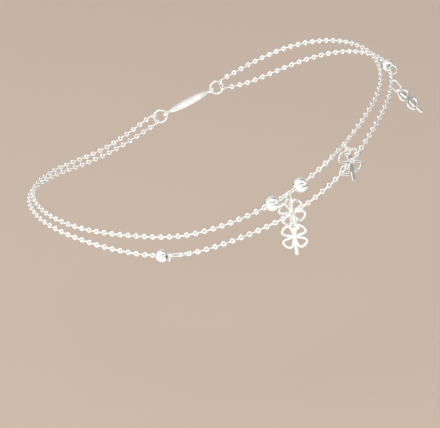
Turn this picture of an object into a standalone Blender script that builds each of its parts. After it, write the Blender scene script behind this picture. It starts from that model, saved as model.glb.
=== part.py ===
"""Double-strand anklet in its worn form: two fine chains, four polished balls and four clover drops.

Both strands go round the Z axis, which points up. They lie highest at the front, +X, and -Y is the
side that shows. The origin is the middle of the loop. Lengths below are millimetres until mm() makes
them metres. The cable chains themselves are too fine for solids, so a tube holds each chain's place.
"""

import math

import bmesh
import bpy
import numpy as np
from mathutils import Euler, Matrix, Vector

# The worn loop: how far the chains lie from the Z axis at the front, and how far the highest point
# of the chains is above their lowest
LOOP_RADIUS = 40.0
LOOP_RISE = 34.6

# Chains: the tube that stands for a chain, and the flat link with an eye that a drop hangs from
CHAIN_DIAMETER = 1.3
EYE_PLATE_THICKNESS = 0.4
EYE_PLATE_LENGTH = 1.5
EYE_BORE = 0.88
END_LINK_DIAMETER = 1.5
END_LINK_WIRE = 0.4
CHAIN_TO_BORE = 0.2

# Polished balls, drilled for the chain, and the bare chain between an eye and a ball beside it
UPPER_BALL_DIAMETER = 3.5
LOWER_BALL_DIAMETER = 3.0
SHORT_GAP = 0.65
LONG_GAP = 2.1

# Oval jump ring of a clover drop, measured between the middles of its wire
DROP_RING_HEIGHT = 3.1
DROP_RING_WIDTH = 1.9
DROP_RING_WIRE = 0.38

# Small round rings linked into the lower chain beside its balls
SIDE_RING_DIAMETER = 2.0
SIDE_RING_WIRE = 0.3

# Openwork clover: four wire leaves, a stem, and an eyelet between the two upper leaves
LEAF_LENGTH = 3.25
LEAF_WIDTH = 2.4
CLOVER_WIRE = 0.54
CLOVER_HUB = 1.0
STEM_LENGTH = 4.8
STEM_WIDTH = 0.86
STEM_MIDWAY_SHARE = 0.85
LEAF_TURNS = (45, 135, 225, 315)
EYELET_HEIGHT = 2.75
EYELET_DIAMETER = 1.4
EYELET_WIRE = 0.4

# Clasp at the far side of the loop, with a round ring at each end placed as the routes' points are
CLASP_RING_DIAMETER = 3.4
CLASP_RING_WIRE = 0.5
CLASP_WIDTH = 3.0
CLASP_THICKNESS = 1.8
CLASP_EYE_DIAMETER = 1.6
CLASP_EYE_WIRE = 0.5
END_LINK_SPREAD = 32.0
CLASP_BACK_RING = (112.0, 0.825, -0.298)
CLASP_FRONT_RING = (86.0, 0.835, -0.095)

# Half outline of a leaf: share of LEAF_LENGTH out from the middle, share of half LEAF_WIDTH
LEAF_OUTLINE = [
    (0.10, 0.12),
    (0.30, 0.40),
    (0.52, 0.73),
    (0.71, 0.96),
    (0.85, 1.00),
    (0.94, 0.78),
    (0.99, 0.40),
]

# Routes round the Z axis: angle from +X in degrees, share of LOOP_RADIUS from the axis, share of
# LOOP_RISE above the origin
UPPER_ROUTE = [
    (-220, 0.882, -0.468),
    (-200, 1.000, -0.506),
    (-180, 1.075, -0.506),
    (-160, 1.025, -0.506),
    (-140, 0.912, -0.503),
    (-120, 0.838, -0.471),
    (-100, 0.838, -0.416),
    (-80, 0.850, -0.309),
    (-60, 0.900, -0.147),
    (-40, 0.963, 0.069),
    (-20, 1.000, 0.234),
    (0, 1.050, 0.347),
    (20, 1.050, 0.405),
    (40, 0.988, 0.361),
    (60, 0.912, 0.217),
    (75, 0.863, 0.058),
]
LOWER_ROUTE = [
    (-220, 0.910, -0.543),
    (-200, 1.025, -0.566),
    (-180, 1.100, -0.549),
    (-160, 1.050, -0.558),
    (-140, 0.925, -0.587),
    (-120, 0.850, -0.595),
    (-100, 0.838, -0.555),
    (-80, 0.863, -0.439),
    (-60, 0.938, -0.275),
    (-40, 1.012, -0.058),
    (-20, 1.050, 0.147),
    (0, 1.113, 0.275),
    (20, 1.150, 0.324),
    (40, 1.075, 0.246),
    (60, 0.938, 0.058),
    (75, 0.870, -0.072),
]
ROUTES = {"upper_chain": UPPER_ROUTE, "lower_chain": LOWER_ROUTE}
TUBE_STEP = 3.4
FINE_STEP = 0.05

# How finely round shapes are divided, and the angle that shows as an edge
RING_POINTS = 16
BALL_STEPS = 20
BALL_PROFILE_STEPS = 10
TIP_STEPS = 4
SHARP_ANGLE = 40

# Places along the chains are an angle round the Z axis and a distance onward from it
PAIR_DROP_ANGLE = -58.2
BACK_BALL_ANGLE = -108.0
FRONT_BALL_ANGLE = 14.0
EYE_TO_UPPER_BALL = (EYE_PLATE_LENGTH + UPPER_BALL_DIAMETER) / 2
EYE_TO_LOWER_BALL = (EYE_PLATE_LENGTH + LOWER_BALL_DIAMETER) / 2

# Balls: name, chain, angle and distance of its place, diameter
BALLS = [
    ("ball_upper_back", "upper_chain", PAIR_DROP_ANGLE, -EYE_TO_UPPER_BALL - LONG_GAP, UPPER_BALL_DIAMETER),
    ("ball_upper_front", "upper_chain", PAIR_DROP_ANGLE, EYE_TO_UPPER_BALL + SHORT_GAP, UPPER_BALL_DIAMETER),
    ("ball_lower_back", "lower_chain", BACK_BALL_ANGLE, 0.0, LOWER_BALL_DIAMETER),
    ("ball_lower_front", "lower_chain", FRONT_BALL_ANGLE, 0.0, LOWER_BALL_DIAMETER),
]

# Drops: number, chain, angle of its place, then for the ring and for the clover the way it faces,
# its lean outward at the bottom and its tilt toward the front, all in degrees
DROPS = [
    (1, "upper_chain", PAIR_DROP_ANGLE, (-60, -20, 8), (-80, 0, 20)),
    (2, "lower_chain", -58.4, (-60, 6, 2), (-92, 0, 8)),
    (3, "upper_chain", -34.8, (-56, -16, 36), (-65, 9, 9)),
    (4, "lower_chain", 3.6, (-20, 45, 0), (-20, 50, 0)),
]

# Rings beside the lower balls: name, angle and distance of its place, how it hangs as for the drops
SIDE_RING_CHAIN = "lower_chain"
SIDE_RINGS = [
    ("side_ring_back", BACK_BALL_ANGLE, EYE_TO_LOWER_BALL, (-100, 95, 0)),
    ("side_ring_front", FRONT_BALL_ANGLE, -EYE_TO_LOWER_BALL, (-35, 95, 0)),
]


def mm(value):
    """A length in millimetres, in metres."""
    return value * 0.001


def polar(angle, radius_share, height_share):
    """A point round the Z axis, in millimetres."""
    turn = math.radians(angle)
    radius = radius_share * LOOP_RADIUS
    return Vector((radius * math.cos(turn), radius * math.sin(turn), height_share * LOOP_RISE))


def smooth_path(points, step):
    """Points about a step apart on the natural cubic spline through the given points."""
    pts = np.array([tuple(p) for p in points])
    gaps = np.linalg.norm(np.diff(pts, axis=0), axis=1)
    knots = np.concatenate([[0.0], np.cumsum(gaps)])
    count = len(pts)
    matrix = np.eye(count)
    target = np.zeros((count, 3))
    for i in range(1, count - 1):
        matrix[i, i - 1 : i + 2] = gaps[i - 1], 2 * (gaps[i - 1] + gaps[i]), gaps[i]
        target[i] = 6 * ((pts[i + 1] - pts[i]) / gaps[i] - (pts[i] - pts[i - 1]) / gaps[i - 1])
    bend = np.linalg.solve(matrix, target)
    at = np.linspace(0.0, knots[-1], int(knots[-1] / step) + 1)
    k = np.clip(np.searchsorted(knots, at, side="right") - 1, 0, count - 2)
    b = ((at - knots[k]) / gaps[k])[:, None]
    a = 1 - b
    curve = (a**3 - a) * bend[k] + (b**3 - b) * bend[k + 1]
    return a * pts[k] + b * pts[k + 1] + curve * (gaps[k] ** 2 / 6)[:, None]


def clasp_frame():
    """The clasp's middle, its axis toward the front ring, its outward normal, and its up axis."""
    back = polar(*CLASP_BACK_RING)
    front = polar(*CLASP_FRONT_RING)
    axis = (front - back).normalized()
    middle = (back + front) / 2
    outward = Vector((middle.x, middle.y, 0.0))
    outward = (outward - axis * outward.dot(axis)).normalized()
    return middle, axis, outward, axis.cross(outward)


def end_link_frames(chain):
    """For each end of a chain, the middle of its end link and the way out of the clasp ring there."""
    _, axis, _, up = clasp_frame()
    side = 1 if chain == "upper_chain" else -1
    frames = []
    for ring, away in ((CLASP_BACK_RING, -1), (CLASP_FRONT_RING, 1)):
        turn = math.radians(END_LINK_SPREAD)
        out = axis * (away * math.cos(turn)) + up * (side * math.sin(turn))
        frames.append((polar(*ring) + out * (CLASP_RING_DIAMETER / 2), out))
    return frames


def route_points(chain):
    """Every point that a chain's tube is led through, from its back end link to its front one."""
    (back, back_out), (front, front_out) = end_link_frames(chain)
    reach = END_LINK_DIAMETER / 2
    rows = [polar(*row) for row in ROUTES[chain]]
    return [back + back_out * reach, *rows, front + front_out * reach]


def place_on(chain, angle, onward=0.0):
    """A chain's point at a distance onward from an angle round the Z axis, and its direction there."""
    path = smooth_path(route_points(chain), FINE_STEP)
    turns = np.degrees(np.unwrap(np.arctan2(path[:, 1], path[:, 0])))
    route_middle = (ROUTES[chain][0][0] + ROUTES[chain][-1][0]) / 2
    turns -= 360 * round((turns[len(turns) // 2] - route_middle) / 360)
    i = int(np.argmin(np.abs(turns - angle))) + round(onward / FINE_STEP)
    return Vector(path[i]), Vector(path[i + 1] - path[i - 1]).normalized()


def frame_matrix(point, x_axis, z_axis):
    """A placement in metres with its axes along x_axis and z_axis, for a point in millimetres."""
    z = z_axis.normalized()
    x = (x_axis - z * x_axis.dot(z)).normalized()
    turn = Matrix((x, z.cross(x), z)).transposed()
    return Matrix.Translation(point * mm(1)) @ turn.to_4x4()


def hang_matrix(point, facing, lean, tilt):
    """A placement for what hangs down local -Z, faces local -Y and has its top at the point."""
    turn = Matrix.Rotation(math.radians(facing + 90), 4, "Z")
    turn = turn @ Euler((math.radians(-lean), 0, 0)).to_matrix().to_4x4()
    turn = turn @ Euler((0, math.radians(-tilt), 0)).to_matrix().to_4x4()
    return Matrix.Translation(point * mm(1)) @ turn


def new_collection(name):
    collection = bpy.data.collections.new(name)
    bpy.context.scene.collection.children.link(collection)
    return collection


def silver(name, roughness):
    """Polished silver plate."""
    material = bpy.data.materials.new(name)
    material.use_nodes = True
    shader = material.node_tree.nodes["Principled BSDF"]
    shader.inputs["Base Color"].default_value = (0.90, 0.89, 0.87, 1.0)
    shader.inputs["Metallic"].default_value = 1.0
    shader.inputs["Roughness"].default_value = roughness
    return material


def wire_curve(name, points, wire, closed, widths=None):
    """A round wire through points in millimetres, with an optional share of its thickness at each."""
    data = bpy.data.curves.new(name, "CURVE")
    data.dimensions = "3D"
    data.bevel_depth = mm(wire / 2)
    data.bevel_resolution = 2
    data.use_fill_caps = not closed
    spline = data.splines.new("POLY")
    spline.points.add(len(points) - 1)
    for i, point in enumerate(points):
        spline.points[i].co = (*(mm(c) for c in point), 1.0)
        spline.points[i].radius = widths[i] if widths else 1.0
    spline.use_cyclic_u = closed
    return bpy.data.objects.new(name, data)


def as_mesh(curve, collection):
    """Replaces a curve object with a welded mesh object of the same shape, place and name."""
    name = curve.name
    collection.objects.link(curve)
    bpy.context.view_layer.update()
    graph = bpy.context.evaluated_depsgraph_get()
    data = bpy.data.meshes.new_from_object(curve.evaluated_get(graph))
    placement = curve.matrix_world.copy()
    bpy.data.objects.remove(curve)
    shape = bmesh.new()
    shape.from_mesh(data)
    bmesh.ops.remove_doubles(shape, verts=shape.verts, dist=1e-7)
    bmesh.ops.recalc_face_normals(shape, faces=shape.faces)
    shape.to_mesh(data)
    shape.free()
    mesh_object = bpy.data.objects.new(name, data)
    collection.objects.link(mesh_object)
    mesh_object.matrix_world = placement
    return mesh_object


def joined(name, pieces, collection):
    """One object with the meshes of several, each kept as its own body."""
    shape = bmesh.new()
    for piece in pieces:
        shape.from_mesh(piece.data)
        bpy.data.objects.remove(piece)
    data = bpy.data.meshes.new(name)
    shape.to_mesh(data)
    shape.free()
    whole = bpy.data.objects.new(name, data)
    collection.objects.link(whole)
    return whole


def add_boolean(target, operation, tool):
    modifier = target.modifiers.new(f"{operation.lower()} {tool.name}", "BOOLEAN")
    modifier.operation = operation
    modifier.object = tool
    return modifier


def finish(target, material):
    """Gives a part its material and smooth shading."""
    target.data.materials.append(material)
    target.data.shade_smooth()
    target.data.set_sharp_from_angle(angle=math.radians(SHARP_ANGLE))


def circle_points(diameter, centre=(0.0, 0.0, 0.0)):
    """Points of a circle in the XZ plane."""
    points = []
    for i in range(RING_POINTS):
        turn = 2 * math.pi * i / RING_POINTS
        x, z = diameter / 2 * math.cos(turn), diameter / 2 * math.sin(turn)
        points.append((centre[0] + x, centre[1], centre[2] + z))
    return points


def oval_points(height, width):
    """An upright oval in the YZ plane with round ends, the middle of its top wire at the origin."""
    radius = width / 2
    per_end = RING_POINTS // 2
    points = []
    for end in (1, -1):
        middle = -radius if end == 1 else radius - height
        for i in range(per_end):
            turn = math.pi * (i + 0.5) / per_end
            points.append((0.0, end * radius * math.cos(turn), middle + end * radius * math.sin(turn)))
    return points


def leaf_points(turn_degrees):
    """The closed outline of one leaf's wire, turned about the clover's middle."""
    upper = [(u * LEAF_LENGTH, v * LEAF_WIDTH / 2) for u, v in LEAF_OUTLINE]
    lower = [(u, -v) for u, v in reversed(upper)]
    turn = math.radians(turn_degrees)
    points = []
    for u, v in upper + lower:
        x = u * math.cos(turn) - v * math.sin(turn)
        z = u * math.sin(turn) + v * math.cos(turn)
        points.append((x, 0.0, z))
    return points


def build_chain(name, parts, cutters, material):
    """A chain's tube, with an end link at each end and a flat eye where each drop hangs."""
    path = smooth_path(route_points(name), TUBE_STEP)
    chain = as_mesh(wire_curve(name, path, CHAIN_DIAMETER, closed=False), parts)
    for i, (middle, out) in enumerate(end_link_frames(name)):
        ring = circle_points(END_LINK_DIAMETER)
        link = as_mesh(wire_curve(f"{name}_end_link_{i + 1}", ring, END_LINK_WIRE, closed=True), cutters)
        link.matrix_world = frame_matrix(middle, out, clasp_frame()[2])
        add_boolean(chain, "UNION", link)
    for tool_name, place, hang in eyes_on(name):
        tool = eye_cutter(tool_name, place, hang, cutters)
        add_boolean(chain, "DIFFERENCE", tool).use_self = True
    finish(chain, material)


def eyes_on(chain):
    """Where each ring passes through this chain: a name, its place on the chain and how it hangs."""
    eyes = []
    for number, drop_chain, angle, ring_hang, _ in DROPS:
        if drop_chain == chain:
            eyes.append((f"drop_eye_{number}", place_on(chain, angle), ring_hang))
    for name, angle, onward, hang in SIDE_RINGS:
        if chain == SIDE_RING_CHAIN:
            eyes.append((f"{name}_eye", place_on(chain, angle, onward), hang))
    return eyes


def eye_cutter(name, place, hang, cutters):
    """Leaves a flat plate with a bore in a chain's tube: a block on each side of it and a rod through it."""
    point, direction = place
    bore_axis = hang_matrix(point, *hang).to_3x3() @ Vector((0, 1, 0))
    square_on = (bore_axis - direction * bore_axis.dot(direction)).normalized()
    shape = bmesh.new()
    depth = CHAIN_DIAMETER
    for side in (-1, 1):
        block = bmesh.ops.create_cube(shape, size=1.0)["verts"]
        bmesh.ops.scale(shape, vec=(mm(EYE_PLATE_LENGTH), mm(2 * CHAIN_DIAMETER), mm(depth)), verts=block)
        shift = side * mm((EYE_PLATE_THICKNESS + depth) / 2)
        bmesh.ops.translate(shape, vec=(0, 0, shift), verts=block)
    bmesh.ops.create_cone(
        shape,
        cap_ends=True,
        segments=RING_POINTS,
        radius1=mm(EYE_BORE / 2),
        radius2=mm(EYE_BORE / 2),
        depth=mm(EYE_PLATE_THICKNESS + depth),
    )
    data = bpy.data.meshes.new(name)
    shape.to_mesh(data)
    shape.free()
    cutter = bpy.data.objects.new(name, data)
    cutters.objects.link(cutter)
    cutter.matrix_world = frame_matrix(point, direction, square_on)
    return cutter


def build_ball(name, place, diameter, parts, material):
    """A drilled ball: its round outside and its bore, turned about the chain."""
    radius = diameter / 2
    bore = CHAIN_DIAMETER / 2 + CHAIN_TO_BORE
    edge = math.acos(bore / radius)
    profile = []
    for i in range(BALL_PROFILE_STEPS + 1):
        turn = edge - 2 * edge * i / BALL_PROFILE_STEPS
        profile.append((mm(radius * math.cos(turn)), 0.0, mm(radius * math.sin(turn))))
    data = bpy.data.meshes.new(name)
    edges = [(i, (i + 1) % len(profile)) for i in range(len(profile))]
    data.from_pydata(profile, edges, [])
    ball = bpy.data.objects.new(name, data)
    parts.objects.link(ball)
    screw = ball.modifiers.new("turn", "SCREW")
    screw.axis = "Z"
    screw.steps = screw.render_steps = BALL_STEPS
    screw.use_merge_vertices = True
    screw.merge_threshold = 1e-6
    point, direction = place
    ball.matrix_world = frame_matrix(point, Vector((0, 0, 1)), direction)
    finish(ball, material)


def stem_curve():
    """The stem below the hub: it widens from a leaf's wire to its full width and ends round."""
    end = STEM_LENGTH - STEM_WIDTH / 2
    points = [(0, 0, 0), (0, 0, -end / 2), (0, 0, -end)]
    widths = [CLOVER_WIRE / STEM_WIDTH, STEM_MIDWAY_SHARE, 1.0]
    for i in range(1, TIP_STEPS):
        turn = math.pi / 2 * i / TIP_STEPS
        points.append((0, 0, -end - STEM_WIDTH / 2 * math.sin(turn)))
        widths.append(math.cos(turn))
    return wire_curve("stem", points, STEM_WIDTH, False, widths)


def build_clover(cutters):
    """One clover with the middle of its eyelet at the origin, as a mesh that all four drops share."""
    pieces = [wire_curve(f"leaf_{turn}", leaf_points(turn), CLOVER_WIRE, True) for turn in LEAF_TURNS]
    neck = [(0, 0, 0), (0, 0, EYELET_HEIGHT - EYELET_DIAMETER / 2)]
    pieces.append(wire_curve("neck", neck, CLOVER_WIRE, False))
    pieces.append(stem_curve())
    eyelet = circle_points(EYELET_DIAMETER, (0, 0, EYELET_HEIGHT))
    pieces.append(wire_curve("eyelet", eyelet, EYELET_WIRE, True))
    wires = joined("clover_wires", [as_mesh(piece, cutters) for piece in pieces], cutters)
    hub = bmesh.new()
    bmesh.ops.create_uvsphere(hub, u_segments=12, v_segments=8, radius=mm(CLOVER_HUB / 2))
    hub_data = bpy.data.meshes.new("clover_hub")
    hub.to_mesh(hub_data)
    hub.free()
    clover = bpy.data.objects.new("clover_hub", hub_data)
    cutters.objects.link(clover)
    add_boolean(clover, "UNION", wires).use_self = True
    graph = bpy.context.evaluated_depsgraph_get()
    data = bpy.data.meshes.new_from_object(clover.evaluated_get(graph))
    data.transform(Matrix.Translation((0, 0, -mm(EYELET_HEIGHT))))
    return data


def build_drops(parts, cutters, material):
    """Each clover with the oval ring that hangs it from its chain."""
    shared = build_clover(cutters)
    for number, chain, angle, ring_hang, clover_hang in DROPS:
        top, _ = place_on(chain, angle)
        hanging = hang_matrix(top, *ring_hang)
        oval = oval_points(DROP_RING_HEIGHT, DROP_RING_WIDTH)
        ring = as_mesh(wire_curve(f"drop_ring_{number}", oval, DROP_RING_WIRE, closed=True), parts)
        ring.matrix_world = hanging
        finish(ring, material)
        ring_bottom = top + hanging.to_3x3() @ Vector((0, 0, -DROP_RING_HEIGHT))
        clover = bpy.data.objects.new(f"clover_{number}", shared.copy())
        parts.objects.link(clover)
        clover.matrix_world = hang_matrix(ring_bottom, *clover_hang)
        finish(clover, material)


def build_side_rings(parts, material):
    """The small rings linked into the lower chain beside its two balls."""
    for name, angle, onward, hang in SIDE_RINGS:
        top, _ = place_on(SIDE_RING_CHAIN, angle, onward)
        outline = oval_points(SIDE_RING_DIAMETER, SIDE_RING_DIAMETER)
        ring = as_mesh(wire_curve(name, outline, SIDE_RING_WIRE, closed=True), parts)
        ring.matrix_world = hang_matrix(top, *hang)
        finish(ring, material)


def build_clasp(parts, cutters, material):
    """The plain clasp, closed, between its two round rings."""
    middle, axis, outward, up = clasp_frame()
    back, front = polar(*CLASP_BACK_RING), polar(*CLASP_FRONT_RING)
    reach = (front - back).length / 2 - CLASP_RING_DIAMETER / 2
    for name, centre in (("clasp_ring_back", back), ("clasp_ring_front", front)):
        circle = circle_points(CLASP_RING_DIAMETER)
        ring = as_mesh(wire_curve(name, circle, CLASP_RING_WIRE, closed=True), parts)
        ring.matrix_world = frame_matrix(centre, axis, up)
        finish(ring, material)
    body_length = 2 * reach - CLASP_EYE_DIAMETER
    body = bmesh.new()
    bmesh.ops.create_uvsphere(body, u_segments=16, v_segments=10, radius=0.5)
    size = (mm(body_length), mm(CLASP_WIDTH), mm(CLASP_THICKNESS))
    bmesh.ops.scale(body, vec=size, verts=body.verts)
    data = bpy.data.meshes.new("clasp")
    body.to_mesh(data)
    body.free()
    clasp = bpy.data.objects.new("clasp", data)
    parts.objects.link(clasp)
    clasp.matrix_world = frame_matrix(middle, axis, outward)
    for end, side in (("back", -1), ("front", 1)):
        circle = circle_points(CLASP_EYE_DIAMETER, (side * reach, 0, 0))
        eye = as_mesh(wire_curve(f"clasp_eye_{end}", circle, CLASP_EYE_WIRE, closed=True), cutters)
        eye.matrix_world = clasp.matrix_world
        add_boolean(clasp, "UNION", eye)
    finish(clasp, material)


def main():
    for old in list(bpy.data.objects):
        bpy.data.objects.remove(old)
    parts = new_collection("anklet")
    cutters = new_collection("anklet cutters")
    chain_silver = silver("chain silver", 0.25)
    bright_silver = silver("bright silver", 0.12)
    for chain in ROUTES:
        build_chain(chain, parts, cutters, chain_silver)
    for name, chain, angle, onward, diameter in BALLS:
        build_ball(name, place_on(chain, angle, onward), diameter, parts, bright_silver)
    build_drops(parts, cutters, bright_silver)
    build_side_rings(parts, bright_silver)
    build_clasp(parts, cutters, bright_silver)
    for tool in cutters.objects:
        tool.hide_render = True
        tool.display_type = "WIRE"


main()
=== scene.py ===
# %% [markdown]
# # A double-strand anklet with clover drops
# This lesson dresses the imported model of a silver-plated anklet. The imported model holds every
# piece's place and size: two chains as plain tubes, four balls, four clovers on oval rings, two
# small rings and a clasp. Here the tubes become real interlocking links, and each small piece is
# made again with the roundness and finish that polished jewellery shows from close by.

# %% Load the frame
import math

import bpy
import numpy as np
from mathutils import Euler, Matrix, Vector


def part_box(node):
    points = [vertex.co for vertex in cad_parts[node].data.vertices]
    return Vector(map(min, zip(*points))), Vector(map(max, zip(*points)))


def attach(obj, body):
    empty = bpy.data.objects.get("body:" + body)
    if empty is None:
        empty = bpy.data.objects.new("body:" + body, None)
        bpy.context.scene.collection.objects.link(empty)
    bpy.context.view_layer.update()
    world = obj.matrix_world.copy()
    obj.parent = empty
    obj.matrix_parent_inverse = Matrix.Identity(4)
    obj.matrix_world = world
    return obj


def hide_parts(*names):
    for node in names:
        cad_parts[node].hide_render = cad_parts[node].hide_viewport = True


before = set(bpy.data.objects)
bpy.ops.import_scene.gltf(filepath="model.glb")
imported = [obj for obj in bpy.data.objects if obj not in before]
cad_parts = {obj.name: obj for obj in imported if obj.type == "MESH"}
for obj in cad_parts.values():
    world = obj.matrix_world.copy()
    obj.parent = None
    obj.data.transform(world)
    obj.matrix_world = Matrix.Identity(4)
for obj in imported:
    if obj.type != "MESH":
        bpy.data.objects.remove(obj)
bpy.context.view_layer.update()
print("nodes in the frame:", len(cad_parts))

# %% [markdown]
# ## Working in millimetres, storing metres
# The anklet is small, so sizes are easier to read in millimetres. Blender's unit here is the metre,
# so one function converts at the last moment. Operators act on whatever is selected, and a fresh
# import leaves everything selected, so other functions clear the selection, pick objects, or pick
# the vertices of a mesh by their place, and each step starts with one of them.

# %% Units and selection
MILLIMETRE = 0.001


def mm(value):
    """A length in millimetres, as metres."""
    return value * MILLIMETRE


def deselect():
    """Nothing selected, so that the next operator touches only what it is given."""
    for thing in list(bpy.context.selected_objects):
        thing.select_set(False)


def pick(*things):
    """Selects these objects alone and makes the first of them the active one."""
    deselect()
    for thing in things:
        thing.select_set(True)
    bpy.context.view_layer.objects.active = things[0]


def select_vertices(thing, test):
    """In edit mode, selects the vertices of a mesh whose place passes the test, and nothing else."""
    bpy.ops.object.mode_set(mode="EDIT")
    bpy.ops.mesh.select_mode(type="VERT")
    bpy.ops.mesh.select_all(action="DESELECT")
    bpy.ops.object.mode_set(mode="OBJECT")
    for vertex in thing.data.vertices:
        vertex.select = test(vertex.co)
    bpy.ops.object.mode_set(mode="EDIT")


deselect()
print("one millimetre is", mm(1), "m; objects still selected:", len(bpy.context.selected_objects))

# %% [markdown]
# ## The camera
# The photograph was taken from the side, a little above the anklet. The lens is long, as for a
# close-up of jewellery, so the far side of the loop shrinks only slightly. A camera can be aimed by
# a constraint, but here its place and tilt are set as numbers, because they follow from the loop's
# own slant and from where its middle lies in the picture.

# %% Camera
CAMERA_PLACE = (3.2, -417.1, 170.3)
CAMERA_TILT = 65.0
CAMERA_LENS = 151.0
SENSOR_WIDTH = 36.0
NEAREST_SEEN = 10.0

bpy.ops.object.camera_add(
    location=[mm(c) for c in CAMERA_PLACE],
    rotation=(math.radians(CAMERA_TILT), 0, 0),
)
camera = bpy.context.object
camera.name = "camera"
camera.data.lens = CAMERA_LENS
camera.data.sensor_width = SENSOR_WIDTH
camera.data.clip_start = mm(NEAREST_SEEN)
bpy.context.scene.camera = camera
print("camera distance from the origin, mm:", round(camera.location.length / MILLIMETRE))

# %% [markdown]
# ## Silver plate
# The whole anklet is brass with a bright plating of silver. Silver reflects nearly all light and
# only a trace less of the blue, so its colour is a white that is very slightly warm, and its look
# comes from what it mirrors. Tarnish starts as a warmer grey in a few places. Two small functions
# come first: one turns a hex colour to the linear values that shaders take, and one adds a node
# with its settings and links, which keeps every material below short.

# %% Material helpers
SILVER_HEX = "F8F7F4"
TARNISH_HEX = "C9C4BC"


def from_hex(text):
    """An sRGB colour written as hex, as the linear colour that shaders take."""
    linear = []
    for i in (0, 2, 4):
        value = int(text[i : i + 2], 16) / 255
        linear.append(value / 12.92 if value <= 0.04045 else ((value + 0.055) / 1.055) ** 2.4)
    return (*linear, 1.0)


def add_node(tree, kind, settings=(), values=(), links=()):
    """Adds a node: settings are its properties, values its sockets, links (socket, source output)."""
    node = tree.nodes.new(kind)
    for name, value in dict(settings).items():
        setattr(node, name, value)
    for name, value in dict(values).items():
        node.inputs[name].default_value = value
    for name, source in dict(links).items():
        tree.links.new(source, node.inputs[name])
    return node


print("linear silver:", [round(c, 3) for c in from_hex(SILVER_HEX)[:3]])

# %% [markdown]
# ## How polishing shows
# Polishing leaves hair-fine scratches and a faint waviness, which break up the reflections. A plain
# metal shader would mirror too perfectly, so one cloud of noise, a little larger than a link, drifts
# the roughness and lays the trace of tarnish, and another bumps the surface. Real polishing marks
# are far finer than a pixel here, so the waviness is drawn a third of a millimetre to a millimetre
# wide, coarse enough to show.

# %% Plated silver
CLOUD_SIZE = 1.6
CLOUD_DETAIL = 3.0
CLOUD_ROUGHNESS = 0.55
TARNISH_STARTS = 0.45
TARNISH_FULL = 0.95
TARNISH_SHARE = 0.5


def plated_silver(name, roughness, wave, wave_size):
    """Silver plate: roughness between two values, with a waviness of this height and size in mm."""
    material = bpy.data.materials.new(name)
    material.use_nodes = True
    tree = material.node_tree
    shader = tree.nodes["Principled BSDF"]
    place = add_node(tree, "ShaderNodeTexCoord").outputs["Object"]
    cloud = add_node(
        tree,
        "ShaderNodeTexNoise",
        values={"Scale": 1 / mm(CLOUD_SIZE), "Detail": CLOUD_DETAIL, "Roughness": CLOUD_ROUGHNESS},
        links={"Vector": place},
    )
    rough = add_node(
        tree,
        "ShaderNodeMapRange",
        values={"To Min": roughness[0], "To Max": roughness[1]},
        links={"Value": cloud.outputs["Fac"]},
    )
    veil = add_node(
        tree,
        "ShaderNodeMapRange",
        values={
            "From Min": TARNISH_STARTS,
            "From Max": TARNISH_FULL,
            "To Min": 0.0,
            "To Max": TARNISH_SHARE,
        },
        links={"Value": cloud.outputs["Fac"]},
    )
    colour = add_node(
        tree,
        "ShaderNodeMix",
        settings={"data_type": "RGBA"},
        values={"A": from_hex(SILVER_HEX), "B": from_hex(TARNISH_HEX)},
        links={"Factor": veil.outputs["Result"]},
    )
    ripple = add_node(
        tree,
        "ShaderNodeTexNoise",
        values={"Scale": 1 / mm(wave_size), "Detail": 1.0},
        links={"Vector": place},
    )
    bump = add_node(
        tree,
        "ShaderNodeBump",
        values={"Strength": 1.0, "Distance": mm(wave)},
        links={"Height": ripple.outputs["Fac"]},
    )
    tree.links.new(colour.outputs["Result"], shader.inputs["Base Color"])
    tree.links.new(rough.outputs["Result"], shader.inputs["Roughness"])
    tree.links.new(bump.outputs["Normal"], shader.inputs["Normal"])
    shader.inputs["Metallic"].default_value = 1.0
    return material


# %% [markdown]
# ## Three finishes
# One plating is polished in three ways. Chain is tumbled after it is linked, which leaves a slightly
# soft gloss, so each link reads as a bright dot with no hard glint. Balls, rings and the clasp are
# buffed until they mirror the room sharply. A clover is cast, and the polishing follows what is left
# of the mould's unevenness, so the tones on its flat faces wander.

# %% The finishes
chain_silver = plated_silver("chain silver plate", roughness=(0.10, 0.20), wave=0.004, wave_size=0.35)
bright_silver = plated_silver("bright silver plate", roughness=(0.05, 0.12), wave=0.004, wave_size=0.7)
cast_silver = plated_silver("cast silver plate", roughness=(0.07, 0.15), wave=0.03, wave_size=1.1)
for material in (chain_silver, bright_silver, cast_silver):
    print(material.name, "has", len(material.node_tree.nodes), "nodes")

# %% [markdown]
# ## The route of each strand
# A worn strand lies in a slanted loop, high at the front and low at the back. Its route is a short
# list of points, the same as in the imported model: an angle round the Z axis, and shares of the
# loop's radius and of its rise. The clasp's two rings are placed in the same way. A route could be
# drawn as a Bezier curve, but the links need exact distances along it, so it stays numbers.

# %% Route points
LOOP_RADIUS = 40.0
LOOP_RISE = 34.6
CLASP_BACK_RING = (112.0, 0.825, -0.298)
CLASP_FRONT_RING = (86.0, 0.835, -0.095)
CLASP_RING_DIAMETER = 3.4
CLASP_RING_WIRE = 0.5
END_LINK_SPREAD = 32.0
END_LINK_DIAMETER = 1.5
END_LINK_WIRE = 0.4

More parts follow.
